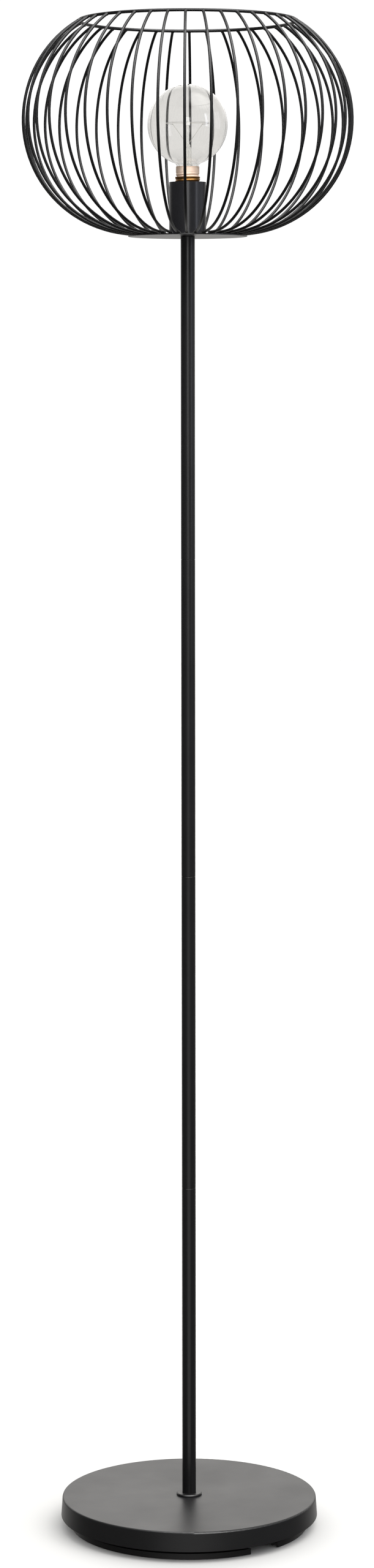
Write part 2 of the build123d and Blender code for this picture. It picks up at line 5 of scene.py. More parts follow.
import bmesh
import bpy
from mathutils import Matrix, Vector


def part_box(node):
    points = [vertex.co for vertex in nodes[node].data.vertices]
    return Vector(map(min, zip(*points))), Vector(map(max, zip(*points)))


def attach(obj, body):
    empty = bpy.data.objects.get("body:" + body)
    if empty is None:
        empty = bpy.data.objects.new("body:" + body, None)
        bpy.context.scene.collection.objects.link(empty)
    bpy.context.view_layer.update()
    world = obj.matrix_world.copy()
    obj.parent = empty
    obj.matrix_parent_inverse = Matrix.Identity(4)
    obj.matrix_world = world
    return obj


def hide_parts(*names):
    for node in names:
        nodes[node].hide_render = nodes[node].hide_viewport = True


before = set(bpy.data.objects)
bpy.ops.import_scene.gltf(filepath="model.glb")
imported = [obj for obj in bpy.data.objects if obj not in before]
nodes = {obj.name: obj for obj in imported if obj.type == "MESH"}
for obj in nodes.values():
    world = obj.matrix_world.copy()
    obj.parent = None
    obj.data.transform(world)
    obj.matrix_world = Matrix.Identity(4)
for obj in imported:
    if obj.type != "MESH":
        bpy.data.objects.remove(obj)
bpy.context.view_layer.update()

MM = 0.001

# ================================================================ studio
# The camera stands 4.2 m in front of the lamp at 1.3 m height and looks a little down, as the
# picture was taken, with a trace of roll. The frame is tall and narrow, so the sensor's width
# lies along its height.
FRAME_HEIGHT_PX = 2560
FOCAL_PX = 6099
SENSOR_M = 36 * MM
CAMERA_PLACE = (-0.0010, -4.242, 1.3146)
CAMERA_TILT = radians(90 - 6.02)
CAMERA_ROLL = 0.0012

camera_data = bpy.data.cameras.new("studio_camera")
camera_data.sensor_width = SENSOR_M / MM
camera_data.lens = SENSOR_M / MM * FOCAL_PX / FRAME_HEIGHT_PX
camera_data.clip_end = 60
camera = bpy.data.objects.new("studio_camera", camera_data)
camera.location = CAMERA_PLACE
camera.rotation_euler = (CAMERA_TILT, CAMERA_ROLL, 0)
bpy.context.scene.collection.objects.link(camera)
bpy.context.scene.camera = camera
bpy.context.scene.view_settings.view_transform = "Standard"


def srgb(code):
    """Linear colour of a hex code such as #1a1a1b."""
    parts = [int(code[place : place + 2], 16) / 255 for place in (1, 3, 5)]
    linear = [part / 12.92 if part <= 0.04045 else ((part + 0.055) / 1.055) ** 2.4 for part in parts]
    return (*linear, 1)


def add_node(tree, kind, inputs=None, **settings):
    """Adds a shader node. An input is given by name or number, as a value or as a socket to link."""
    node = tree.nodes.new("ShaderNode" + kind)
    for name, value in settings.items():
        setattr(node, name, value)
    for key, value in (inputs or {}).items():
        if isinstance(value, bpy.types.NodeSocket):
            tree.links.new(value, node.inputs[key])
        else:
            node.inputs[key].default_value = value
    return node


# The surroundings are a pale backdrop behind the lamp, dimmest at the horizon, a soft light high
# up on the right, and a dim room. In front and low down lies the gleam that the bright floor
# gives in smooth paint. Seen straight on or through glass, all of it is plain white.
BACKDROP_LIGHT = 1.95
HORIZON_SHARE = 0.2
FLOOR_BEHIND_SHARE = 0.45
ROOM_LIGHT = 0.1
KEY_LIGHT = 3.0
KEY_FACING = Vector((0.42, -0.16, 0.88)).normalized()
KEY_CORE = radians(12)
KEY_EDGE = radians(32)
FLOOR_GLEAM = 1.0
PLAIN_WHITE = 1.06
WARM_WHITE = "#fffdfa"


def ramp(tree, value, start, end, low, high):
    """A smooth rise from low, where the value is at start, to high, where it is at end."""
    limits = {"Value": value, "From Min": start, "From Max": end, "To Min": low, "To Max": high}
    return add_node(tree, "MapRange", limits, interpolation_type="SMOOTHSTEP").outputs["Result"]


def combine(tree, operation, first, second):
    """Two values added, multiplied or compared, as the operation says."""
    return add_node(tree, "Math", {0: first, 1: second}, operation=operation).outputs[0]


world = bpy.data.worlds.new("studio_surroundings")
world.use_nodes = True
bpy.context.scene.world = world
sky = world.node_tree
sky.nodes.clear()
direction = add_node(sky, "TexCoord").outputs["Generated"]
facing = add_node(sky, "SeparateXYZ", {0: direction}).outputs
behind = ramp(sky, facing["Y"], 0.4, 1.0, 0, BACKDROP_LIGHT)
above = ramp(sky, facing["Z"], 0.0, 0.28, HORIZON_SHARE, 1)
below = ramp(sky, facing["Z"], -0.1, -0.25, 0, FLOOR_BEHIND_SHARE)
backdrop = combine(sky, "MULTIPLY", behind, combine(sky, "MAXIMUM", above, below))
key_angle = add_node(sky, "VectorMath", {0: direction, 1: KEY_FACING}, operation="DOT_PRODUCT")
key = ramp(sky, key_angle.outputs["Value"], cos(KEY_EDGE), cos(KEY_CORE), ROOM_LIGHT, KEY_LIGHT)
aside = add_node(sky, "Math", {0: facing["X"]}, operation="ABSOLUTE").outputs[0]
forward = ramp(sky, facing["Y"], -0.5, -0.8, 0, 1)
near_middle = ramp(sky, aside, 0.55, 0.2, 0, 1)
in_front = combine(sky, "MULTIPLY", forward, near_middle)
under_eye_level = ramp(sky, facing["Z"], -0.1, -0.22, 0, 1)
above_feet = ramp(sky, facing["Z"], -0.6, -0.35, 0, 1)
low_down = combine(sky, "MULTIPLY", under_eye_level, above_feet)
gleam = combine(sky, "MULTIPLY", combine(sky, "MULTIPLY", in_front, low_down), FLOOR_GLEAM)
room = combine(sky, "ADD", combine(sky, "ADD", backdrop, key), gleam)
around = add_node(sky, "Background", {"Color": srgb(WARM_WHITE), "Strength": room})
straight = add_node(sky, "Background", {"Color": (1, 1, 1, 1), "Strength": PLAIN_WHITE})
ray = add_node(sky, "LightPath").outputs
seen = combine(sky, "MAXIMUM", ray["Is Camera Ray"], ray["Is Transmission Ray"])
either = add_node(sky, "MixShader", {0: seen, 1: around.outputs[0], 2: straight.outputs[0]})
add_node(sky, "OutputWorld", {"Surface": either.outputs[0]})


# Four soft boxes: a broad one overhead, a tall narrow one behind the camera, another far to the
# right, and a broad weak one beside it, both a little cool. Each is as bright as its glow says.
COOL_WHITE = "#eef2ff"


def soft_box(name, place, target, width, height, glow, tint="#ffffff"):
    """A rectangular light, sizes in metres, whose glow doesn't change with its size."""
    light = bpy.data.lights.new(name, "AREA")
    light.shape = "RECTANGLE"
    light.size, light.size_y = width, height
    light.energy = glow * pi * width * height
    light.color = srgb(tint)[:3]
    box = bpy.data.objects.new(name, light)
    box.location = place
    box.rotation_euler = (Vector(target) - Vector(place)).to_track_quat("-Z", "Y").to_euler()
    box.visible_camera = False
    bpy.context.scene.collection.objects.link(box)
    return box


overhead_box = soft_box("overhead_box", (0.2, -0.9, 3.1), (0, 0, 1.4), width=2.8, height=2.4, glow=8)
soft_box("front_strip", (0.02, -4.6, 2.1), (0, 0, 1.5), width=1.3, height=1.9, glow=3.6)
soft_box("right_strip", (3.4, -2.2, 2.35), (0, 0, 1.5), width=0.6, height=2.4, glow=2.6, tint=COOL_WHITE)
soft_box("right_wall", (4.0, -0.6, 2.25), (0, 0, 1.5), width=4.5, height=2.4, glow=0.6, tint=COOL_WHITE)

# The floor is a plain pale disc, far wider than the view. A very soft wash from above falls on
# the floor alone and keeps it evenly pale, with a soft shadow round the base.
FLOOR_RADIUS = 14
WASH = 3.0
WASH_SPREAD = radians(150)
bpy.ops.object.select_all(action="DESELECT")
bpy.ops.mesh.primitive_circle_add(vertices=96, radius=FLOOR_RADIUS, fill_type="NGON", location=(0, 0, 0))
floor = bpy.context.object
floor.name = "studio_floor"
floor_paint = bpy.data.materials.new("pale_floor_paint")
floor_paint.use_nodes = True
tree = floor_paint.node_tree
tree.nodes["Principled BSDF"].inputs["Base Color"].default_value = srgb("#d0d0cf")
tree.nodes["Principled BSDF"].inputs["Roughness"].default_value = 0.9
tree.nodes["Principled BSDF"].inputs["Specular IOR Level"].default_value = 0
floor.data.materials.append(floor_paint)
floor.visible_glossy = False

wash_data = bpy.data.lights.new("floor_wash", "SUN")
wash_data.energy = WASH
wash_data.angle = WASH_SPREAD
wash = bpy.data.objects.new("floor_wash", wash_data)
bpy.context.scene.collection.objects.link(wash)
washed = bpy.data.collections.new("washed")
washed.objects.link(floor)
wash.light_linking.receiver_collection = washed

# The overhead box spares the floor, which it would bleach, and the globe, which it would glaze.
spared = bpy.data.collections.new("spared")


def spare(piece):
    """Keeps the overhead box's light off a piece."""
    spared.objects.link(piece)
    spared.collection_objects[-1].light_linking.link_state = "EXCLUDE"


spare(floor)
overhead_box.light_linking.receiver_collection = spared

# ================================================================ base
# The cover is pressed from sheet steel and powder coated a satin black. The coat's fine orange
# peel spreads the highlights; it is drawn a little coarser than its real half millimetre.


def new_finish(name):
    """A material with an empty node tree, and the object coordinates that its patterns read."""
    finish = bpy.data.materials.new(name)
    finish.use_nodes = True
    finish.node_tree.nodes.clear()
    place = add_node(finish.node_tree, "TexCoord").outputs["Object"]
    return finish, finish.node_tree, place


def dress(names, finish):
    """Gives CAD nodes their finish."""
    for name in names:
        nodes[name].material_slots[0].material = finish


def powder_coat(name, dark, pale, rough, gloss=0.45):
    """A baked powder coat: fine peel, and a tone and sheen that drift a little over the piece."""
    finish, tree, place = new_finish(name)
    peel = add_node(tree, "TexNoise", {"Vector": place, "Scale": 1 / (1.1 * MM), "Detail": 3})
    cloud = add_node(tree, "TexNoise", {"Vector": place, "Scale": 1 / (70 * MM), "Detail": 4})
    shade = add_node(
        tree,
        "Mix",
        {"Factor": cloud.outputs["Fac"], "A": srgb(dark), "B": srgb(pale)},
        data_type="RGBA",
    )
    sheen = add_node(
        tree,
        "MapRange",
        {
            "Value": cloud.outputs["Fac"],
            "From Min": 0.3,
            "From Max": 0.7,
            "To Min": rough - 0.03,
            "To Max": rough + 0.03,
        },
    )
    relief = add_node(
        tree, "Bump", {"Height": peel.outputs["Fac"], "Strength": 0.25, "Distance": 0.04 * MM}
    )
    surface = add_node(
        tree,
        "BsdfPrincipled",
        {
            "Base Color": shade.outputs["Result"],
            "Roughness": sheen.outputs["Result"],
            "Normal": relief.outputs["Normal"],
            "Specular IOR Level": gloss,
        },
    )
    add_node(tree, "OutputMaterial", {"Surface": surface.outputs[0]})
    return finish


base_coat = powder_coat("satin_black_powder_coat", "#0f0f10", "#141415", 0.41)
dress(["base_cover", "base_collar"], base_coat)

# The weight is a grey iron casting. Sand leaves a coarse grain on it, under a thin dark paint.
cast_iron, tree, place = new_finish("sand_cast_iron")
grit = add_node(tree, "TexNoise", {"Vector": place, "Scale": 1 / (0.9 * MM), "Detail": 6})
lumps = add_node(tree, "TexNoise", {"Vector": place, "Scale": 1 / (14 * MM), "Detail": 3})
shade = add_node(
    tree,
    "Mix",
    {"Factor": lumps.outputs["Fac"], "A": srgb("#2b2a29"), "B": srgb("#454341")},
    data_type="RGBA",
)
relief = add_node(tree, "Bump", {"Height": grit.outputs["Fac"], "Strength": 0.7, "Distance": 0.3 * MM})
surface = add_node(
    tree,
    "BsdfPrincipled",
    {"Base Color": shade.outputs["Result"], "Roughness": 0.7, "Metallic": 0.4, "Normal": relief.outputs[0]},
)
add_node(tree, "OutputMaterial", {"Surface": surface.outputs[0]})
dress(["base_weight"], cast_iron)


# The tray is moulded in black polypropylene against a spark-eroded mould, which leaves a fine
# even grain. The rubber pads and the bushing are matt and a shade softer.
def moulded_black(name, colour, grain, depth, rough):
    """A moulded surface with grains of the given size and depth."""
    finish, tree, place = new_finish(name)
    grains = add_node(tree, "TexVoronoi", {"Vector": place, "Scale": 1 / grain})
    flow = add_node(tree, "TexNoise", {"Vector": place, "Scale": 1 / (30 * MM), "Detail": 2})
    sheen = add_node(
        tree, "MapRange", {"Value": flow.outputs["Fac"], "To Min": rough - 0.06, "To Max": rough + 0.06}
    )
    relief = add_node(
        tree, "Bump", {"Height": grains.outputs["Distance"], "Strength": 0.3, "Distance": depth}
    )
    surface = add_node(
        tree,
        "BsdfPrincipled",
        {
            "Base Color": srgb(colour),
            "Roughness": sheen.outputs["Result"],
            "Normal": relief.outputs["Normal"],
        },
    )
    add_node(tree, "OutputMaterial", {"Surface": surface.outputs[0]})
    return finish


tray_plastic = moulded_black("spark_grained_polypropylene", "#101011", 0.8 * MM, 0.05 * MM, 0.5)
pad_rubber = moulded_black("moulded_rubber", "#141414", 1.2 * MM, 0.08 * MM, 0.85)
dress(["base_tray"], tray_plastic)
dress(["foot_pads", "cable_bushing"], pad_rubber)


# Nuts, washers, studs and screws are zinc plated: pale, a little blue, with a soft crystalline
# mottle and fine scuffs from the spanner.
zinc, tree, place = new_finish("zinc_plate")
crystals = add_node(tree, "TexVoronoi", {"Vector": place, "Scale": 1 / (1.6 * MM)})
scuffs = add_node(tree, "TexNoise", {"Vector": place, "Scale": 1 / (4 * MM), "Detail": 5})
shade = add_node(
    tree,
    "Mix",
    {"Factor": crystals.outputs["Color"], "A": srgb("#b9bcc0"), "B": srgb("#cfd1d2")},
    data_type="RGBA",
)
sheen = add_node(tree, "MapRange", {"Value": scuffs.outputs["Fac"], "To Min": 0.25, "To Max": 0.45})
surface = add_node(
    tree,
    "BsdfPrincipled",
    {"Base Color": shade.outputs["Result"], "Metallic": 1, "Roughness": sheen.outputs["Result"]},
)
add_node(tree, "OutputMaterial", {"Surface": surface.outputs[0]})
dress(["base_washer", "base_lock_washer", "base_nut", "base_stud"], zinc)


# Hand moves that the turned pieces share: start from a circle, then draw its rim up and in or
# out, ring by ring.
def start_circle(radius, height, sides):
    bpy.ops.object.select_all(action="DESELECT")
    bpy.ops.mesh.primitive_circle_add(vertices=sides, radius=radius, location=(0, 0, height))
    bpy.ops.object.transform_apply(location=True, rotation=True, scale=True)
    bpy.ops.object.mode_set(mode="EDIT")
    bpy.ops.mesh.select_all(action="SELECT")
    return bpy.context.object


def draw_rings(rings):
    """Extrudes the selected rim from the first (radius, height) pair through all the others."""
    for (radius, height), (next_radius, next_height) in zip(rings, rings[1:]):
        bpy.ops.mesh.extrude_region_move(TRANSFORM_OT_translate={"value": (0, 0, next_height - height)})
        share = next_radius / radius
        bpy.ops.transform.resize(value=(share, share, 1), center_override=(0, 0, next_height))


def finish_piece(piece, name, finish, body, smooth_below=40):
    """Names a modelled piece, smooths its gentle edges, and gives it finish, slot and body."""
    if piece.mode == "EDIT":
        bpy.ops.mesh.select_all(action="SELECT")
        bpy.ops.mesh.normals_make_consistent(inside=False)
        bpy.ops.object.mode_set(mode="OBJECT")
    piece.name = piece.data.name = name
    bpy.ops.object.shade_smooth_by_angle(angle=radians(smooth_below))
    piece.data.materials.clear()
    piece.data.materials.append(finish)
    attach(piece, body)


def go_round(copies):
    """Repeats all that is modelled so far round the lamp's axis, as many times in all."""
    bpy.ops.object.mode_set(mode="EDIT")
    bpy.ops.mesh.select_all(action="SELECT")
    turn = tau * (copies - 1) / copies
    bpy.ops.mesh.spin(steps=copies - 1, angle=turn, dupli=True, center=(0, 0, 0), axis=(0, 0, 1))
    bpy.ops.mesh.select_all(action="SELECT")
    bpy.ops.mesh.normals_make_consistent(inside=False)
    bpy.ops.object.mode_set(mode="OBJECT")


# Four countersunk screws hold the tray. They are cold headed, and the punch leaves a tapering
# cross in each head.
SCREW_COUNT = 4
SCREW_PLACE = (100 * MM, radians(9))
SCREW_RADIUS = 1.9 * MM
SCREW_HEAD_RADIUS = 3.8 * MM
SCREW_HEAD_RIM = 0.25 * MM
SCREW_HEAD_HEIGHT = 2.4 * MM
CROSS_REACH = 2.1 * MM
CROSS_WIDTH = 0.85 * MM
CROSS_DEPTH = 1.5 * MM
CROSS_TAPER = 0.45
CROSS_SECOND_TAPER = 0.6
screws_low, screws_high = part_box("tray_screws")
head_z, tip_z = screws_low.z, screws_high.z
screw = start_circle(SCREW_HEAD_RADIUS - SCREW_HEAD_RIM, head_z, 32)
bpy.ops.mesh.edge_face_add()
draw_rings(
    [
        (SCREW_HEAD_RADIUS - SCREW_HEAD_RIM, head_z),
        (SCREW_HEAD_RADIUS, head_z + SCREW_HEAD_RIM),
        (SCREW_RADIUS, head_z + SCREW_HEAD_HEIGHT),
        (SCREW_RADIUS, tip_z - SCREW_RADIUS / 2),
        (SCREW_RADIUS / 2, tip_z),
    ]
)
bpy.ops.mesh.select_all(action="SELECT")
bpy.ops.mesh.normals_make_consistent(inside=False)
bpy.ops.object.mode_set(mode="OBJECT")
for turned in (0, pi / 2):
    bpy.ops.object.select_all(action="DESELECT")
    bpy.ops.mesh.primitive_cube_add(
        size=1,
        location=(0, 0, head_z),
        rotation=(0, 0, turned),
        scale=(2 * CROSS_REACH, CROSS_WIDTH, 2 * CROSS_DEPTH),
    )
    punch = bpy.context.object
    bpy.ops.object.transform_apply(location=True, rotation=True, scale=True)
    bpy.ops.object.mode_set(mode="EDIT")
    bpy.ops.mesh.select_all(action="DESELECT")
    punch_mesh = bmesh.from_edit_mesh(punch.data)
    for face in punch_mesh.faces:
        face.select_set(face.normal.z > 0.5)
    bmesh.update_edit_mesh(punch.data)
    across = CROSS_SECOND_TAPER if turned == 0 else CROSS_TAPER
    bpy.ops.transform.resize(value=(CROSS_TAPER, across, 1), center_override=(0, 0, head_z))
    bpy.ops.object.mode_set(mode="OBJECT")
    bpy.ops.object.select_all(action="DESELECT")
    screw.select_set(True)
    bpy.context.view_layer.objects.active = screw
    punched = screw.modifiers.new("punched", "BOOLEAN")
    punched.operation = "DIFFERENCE"
    punched.object = punch
    bpy.ops.object.modifier_apply(modifier=punched.name)
    bpy.data.objects.remove(punch)
spread, turned = SCREW_PLACE
screw.location = (spread * cos(turned), spread * sin(turned), 0)
screw.rotation_euler.z = turned + pi / 4
bpy.ops.object.transform_apply(location=True, rotation=True, scale=True)
go_round(SCREW_COUNT)
finish_piece(screw, "tray_screws_cross", zinc, "lamp", 30)
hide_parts("tray_screws")

# ================================================================ pole
# Four steel tubes stand end to end. Their coat is the base's, but lies smoother on drawn tube, so
# that it shows a finer line of light. The threaded inserts and hollow studs stay bare zinc.
tube_coat = powder_coat("smooth_black_powder_coat", "#0f0f10", "#141415", 0.3)
dress([f"pole_section_{number}" for number in range(1, 5)], tube_coat)
dress(["pole_lower_inserts", "pole_upper_inserts", "pole_joint_studs"], zinc)

# ================================================================ cage
# Plate, forty wires and ring are welded up first and then coated in one go. Small welds show
# under the coat: one where each wire meets the ring, and one on each side of it on the plate.
WIRE_COUNT = 40
FIRST_WIRE = radians(-91)
RING_WELD_PLACE = (123.0 * MM, 1724.1 * MM)
RING_WELD_SIZE = (2.1 * MM, 2.1 * MM, 1.9 * MM)
PLATE_WELD_PLACE = (56.3 * MM, 1488.0 * MM)
PLATE_WELD_SIZE = (1.8 * MM, 1.1 * MM, 0.9 * MM)
PLATE_WELD_OFFSET = 1.7 * MM
# The coat on wires, ring and welds is a darker copy of the plate's black. It is painted shade, which keeps
# the wires near black where they lie in shade.
wire_coat_painted_darker = powder_coat("black_powder_coat_on_wire_painted_darker", "#050506", "#09090a", 0.4, 0.3)
plate_coat = powder_coat("black_powder_coat_on_plate", "#0d0d0e", "#121213", 0.3, 0.5)
dress(["cage_plate"], plate_coat)
dress(["cage_ring"], wire_coat_painted_darker)
dress([f"cage_wires_{number:02d}" for number in range(1, 11)], wire_coat_painted_darker)


def weld_bead(place, size, offset):
    """A flattened bead on the first wire's place, moved sideways by the offset."""
    radius, height = place
    bpy.ops.object.select_all(action="DESELECT")
    bpy.ops.mesh.primitive_uv_sphere_add(
        segments=8,
        ring_count=5,
        radius=1,
        location=(
            radius * cos(FIRST_WIRE) - offset * sin(FIRST_WIRE),
            radius * sin(FIRST_WIRE) + offset * cos(FIRST_WIRE),
            height,
        ),
        rotation=(0, 0, FIRST_WIRE),
        scale=size,
    )
    bpy.ops.object.transform_apply(location=True, rotation=True, scale=True)
    return bpy.context.object


def coat_welds(welds, name):
    """Repeats the welds at every wire and coats them as the wires are."""
    go_round(WIRE_COUNT)
    welds.name = welds.data.name = name
    bpy.ops.object.shade_smooth()
    welds.data.materials.append(wire_coat_painted_darker)
    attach(welds, "lamp")


coat_welds(weld_bead(RING_WELD_PLACE, RING_WELD_SIZE, 0), "ring_welds")
beads = [weld_bead(PLATE_WELD_PLACE, PLATE_WELD_SIZE, side * PLATE_WELD_OFFSET) for side in (-1, 1)]
for bead in beads:
    bead.select_set(True)
bpy.ops.object.join()
coat_welds(bpy.context.object, "plate_welds")

# ================================================================ holder
# A drawn steel cup stands round the lamp holder. It is coated in the tubes' smooth black, and
# so glossy that two soft boxes stand on it as upright bands. Its colour is painted lighter and a
# little bluer than the tubes'. This is painted light on its shaded side, and painted cool light from the
# right.
sleeve_coat_painted_lighter = powder_coat("glossier_black_powder_coat_painted_lighter", "#141416", "#19191c", 0.24)
dress(["holder_sleeve"], sleeve_coat_painted_lighter)
dress(["holder_nut", "holder_stud", "terminal_screws"], zinc)

# The dome is screwed to the hollow stud and the skirt to the dome, inside the sleeve. Both are
# black phenolic, pressed hot in polished moulds to a hard semi-gloss.
phenolic = moulded_black("pressed_phenolic", "#15110f", 2.5 * MM, 0.01 * MM, 0.28)
dress(["holder_dome", "holder_skirt"], phenolic)

# The insert carries the contacts and sits in the dome. It is pressed and fired porcelain under a
# clear glaze: white, faintly warm, with a thick wet gloss.
porcelain, tree, place = new_finish("glazed_porcelain")
speck = add_node(tree, "TexNoise", {"Vector": place, "Scale": 1 / (5 * MM), "Detail": 3})
shade = add_node(
    tree,
    "Mix",
    {"Factor": speck.outputs["Fac"], "A": srgb("#e6e2d8"), "B": srgb("#f1eee6")},
    data_type="RGBA",
)
surface = add_node(
    tree,
    "BsdfPrincipled",
    {"Base Color": shade.outputs["Result"], "Roughness": 0.16, "Coat Weight": 0.6, "Coat Roughness": 0.05},
)
add_node(tree, "OutputMaterial", {"Surface": surface.outputs[0]})
dress(["holder_insert"], porcelain)


# The contacts are strips of rolled brass, held to the insert by the terminal screws. The thread
# shell is brass too, but air and the bulb's heat have browned it.
def rolled_metal(name, bright, brown, rough, spread):
    """Bare metal with fine rolling lines and a tarnish that changes over the given spread."""
    finish, tree, place = new_finish(name)
    tarnish = add_node(tree, "TexNoise", {"Vector": place, "Scale": 1 / spread, "Detail": 5})
    grain = add_node(tree, "Mapping", {"Vector": place, "Scale": (1, 1, 12)})
    lines = add_node(tree, "TexNoise", {"Vector": grain.outputs[0], "Scale": 1 / (3 * MM), "Detail": 2})
    shade = add_node(
        tree,
        "Mix",
        {"Factor": tarnish.outputs["Fac"], "A": srgb(bright), "B": srgb(brown)},
        data_type="RGBA",
    )
    sheen = add_node(
        tree, "MapRange", {"Value": lines.outputs["Fac"], "To Min": rough - 0.08, "To Max": rough + 0.1}
    )
    surface = add_node(
        tree,
        "BsdfPrincipled",
        {"Base Color": shade.outputs["Result"], "Metallic": 1, "Roughness": sheen.outputs["Result"]},
    )
    add_node(tree, "OutputMaterial", {"Surface": surface.outputs[0]})
    return finish


brass = rolled_metal("rolled_brass", "#d9b36b", "#a97c3c", 0.3, 6 * MM)
browned_brass = rolled_metal("browned_brass", "#a67c46", "#5c3a1c", 0.42, 4 * MM)
dress(["holder_centre_contact", "holder_side_contact"], brass)


def wall(piece, thickness):
    """Gives an open surface its thickness, inwards, and applies it."""
    bpy.ops.object.mode_set(mode="EDIT")
    bpy.ops.mesh.select_all(action="SELECT")
    bpy.ops.mesh.normals_make_consistent(inside=False)
    bpy.ops.object.mode_set(mode="OBJECT")
    shell = piece.modifiers.new("wall", "SOLIDIFY")
    shell.thickness = thickness
    shell.offset = -1
    bpy.ops.object.modifier_apply(modifier=shell.name)


# The screw thread is rolled into thin sheet: a round wave of 3.6 mm pitch that fades out at both
# ends. It is right-handed, so it climbs as it turns from +X to +Y.
THREAD_PITCH = 3.62 * MM
THREAD_ROW = THREAD_PITCH / 12
THREAD_SIDES = 72


def roll_thread(piece, depth, low, high):
    """Presses the wave into a round wall, between two heights."""
    for corner in piece.data.vertices:
        x, y, z = corner.co
        radius = sqrt(x * x + y * y)
        turn = Vector((x, y)).angle_signed(Vector((1, 0)), 0) / tau
        wave = (1 - cos(tau * (z / THREAD_PITCH - turn))) / 2
        fade = min(max((z - low) / THREAD_PITCH, 0), max((high - z) / THREAD_PITCH, 0), 1)
        share = (radius - depth * wave * fade) / radius
        corner.co.x, corner.co.y = x * share, y * share


shell_low, shell_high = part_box("holder_thread_shell")
SHELL_SHEET = 0.5 * MM
SHELL_FLANGE = 2 * MM
SHELL_THREAD_DEPTH = 1.0 * MM
SHELL_PLAIN_FOOT = 2 * MM
SHELL_PLAIN_RIM = 0.3 * MM
shell_flange_radius = shell_high.x
shell_radius = shell_flange_radius - SHELL_FLANGE
shell = start_circle(shell_flange_radius, shell_low.z, THREAD_SIDES)
row_count = int((shell_high.z - shell_low.z) / THREAD_ROW)
rows = [shell_low.z + (shell_high.z - shell_low.z) * row / row_count for row in range(1, row_count + 1)]
flange = [(shell_flange_radius, shell_low.z), (shell_radius, shell_low.z)]
draw_rings(flange + [(shell_radius, z) for z in rows])
bpy.ops.object.mode_set(mode="OBJECT")
roll_thread(shell, SHELL_THREAD_DEPTH, shell_low.z + SHELL_PLAIN_FOOT, shell_high.z - SHELL_PLAIN_RIM)
wall(shell, SHELL_SHEET)
finish_piece(shell, "holder_shell_rolled", browned_brass, "lamp", 60)
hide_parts("holder_thread_shell")

# ================================================================ bulb
# The globe is blown clear glass, under a millimetre thick, faintly grey, and drawn down to a neck
# that the cap hides. Its sides mirror the studio; its middle is nearly invisible.
glass_low, glass_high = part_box("bulb_glass")
cap_low, cap_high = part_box("bulb_cap")
GLOBE_RADIUS = 45 * MM
NECK_RADIUS = 12.4 * MM
NECK_BEND = 4 * MM
GLASS_WALL = 0.8 * MM
globe_z = glass_high.z - GLOBE_RADIUS
bend_reach = NECK_RADIUS + NECK_BEND
bend_drop = sqrt((GLOBE_RADIUS + NECK_BEND) ** 2 - bend_reach**2)
bend_z = globe_z - bend_drop
touch_radius = GLOBE_RADIUS * bend_reach / (GLOBE_RADIUS + NECK_BEND)
touch_z = globe_z - GLOBE_RADIUS * bend_drop / (GLOBE_RADIUS + NECK_BEND)


def clear_glass(name, tint, ripple):
    """Clear glass with a shallow ripple, as deep as given."""
    finish, tree, place = new_finish(name)
    flow = add_node(tree, "TexNoise", {"Vector": place, "Scale": 1 / (22 * MM), "Detail": 2})
    relief = add_node(tree, "Bump", {"Height": flow.outputs["Fac"], "Strength": 0.3, "Distance": ripple})
    surface = add_node(
        tree,
        "BsdfPrincipled",
        {
            "Base Color": srgb(tint),
            "Roughness": 0.0,
            "IOR": 1.5,
            "Transmission Weight": 1,
            "Normal": relief.outputs["Normal"],
        },
    )
    add_node(tree, "OutputMaterial", {"Surface": surface.outputs[0]})
    return finish


globe_glass = clear_glass("blown_clear_glass", "#edecea", 0.15 * MM)
bpy.ops.object.select_all(action="DESELECT")
bpy.ops.mesh.primitive_uv_sphere_add(
    segments=96, ring_count=72, radius=GLOBE_RADIUS, location=(0, 0, globe_z)
)
globe = bpy.context.object
bpy.ops.object.transform_apply(location=True, rotation=True, scale=True)
bpy.ops.object.mode_set(mode="EDIT")
bpy.ops.mesh.select_all(action="SELECT")
bpy.ops.mesh.bisect(plane_co=(0, 0, touch_z), plane_no=(0, 0, -1), clear_outer=True)
BEND_STEPS = 10
touch_angle = atan((touch_z - bend_z) / (bend_reach - touch_radius))
bend_rings = [
    (
        bend_reach - NECK_BEND * cos(touch_angle * (1 - step / BEND_STEPS)),
        bend_z + NECK_BEND * sin(touch_angle * (1 - step / BEND_STEPS)),
    )
    for step in range(BEND_STEPS + 1)
]
draw_rings(bend_rings + [(NECK_RADIUS, glass_low.z)])
wall(globe, GLASS_WALL)
finish_piece(globe, "bulb_globe", globe_glass, "bulb", 60)
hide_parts("bulb_glass")
spare(globe)

# The cap is thin brass sheet washed with copper, which leaves it a pale pink. Its lower part
# carries the rolled thread; the plain skirt above ends in a small bead against the glass.
pink_brass = rolled_metal("copper_washed_brass", "#e2d5c8", "#d4bca9", 0.72, 5 * MM)
CAP_SHEET = 0.4 * MM
CAP_BEAD = 0.5 * MM
CAP_SKIRT = 6.5 * MM
CAP_THREAD_DEPTH = 1.1 * MM
cap_radius = cap_high.x
row_count = int((cap_high.z - cap_low.z - 2 * CAP_BEAD) / THREAD_ROW)
rows = [
    cap_low.z + (cap_high.z - 2 * CAP_BEAD - cap_low.z) * row / row_count for row in range(row_count + 1)
]
bead = [
    (cap_radius - 0.6 * CAP_BEAD, cap_high.z - 1.9 * CAP_BEAD),
    (cap_radius - 0.2 * CAP_BEAD, cap_high.z - 1.5 * CAP_BEAD),
    (cap_radius, cap_high.z - CAP_BEAD),
    (cap_radius - 0.2 * CAP_BEAD, cap_high.z - 0.4 * CAP_BEAD),
    (cap_radius - CAP_BEAD, cap_high.z),
]
cap = start_circle(cap_radius, cap_low.z, THREAD_SIDES)
draw_rings([(cap_radius, z) for z in rows] + bead)
bpy.ops.object.mode_set(mode="OBJECT")
roll_thread(cap, CAP_THREAD_DEPTH, cap_low.z, cap_high.z - CAP_SKIRT)
wall(cap, CAP_SHEET)
finish_piece(cap, "bulb_cap_rolled", pink_brass, "bulb", 60)
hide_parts("bulb_cap")

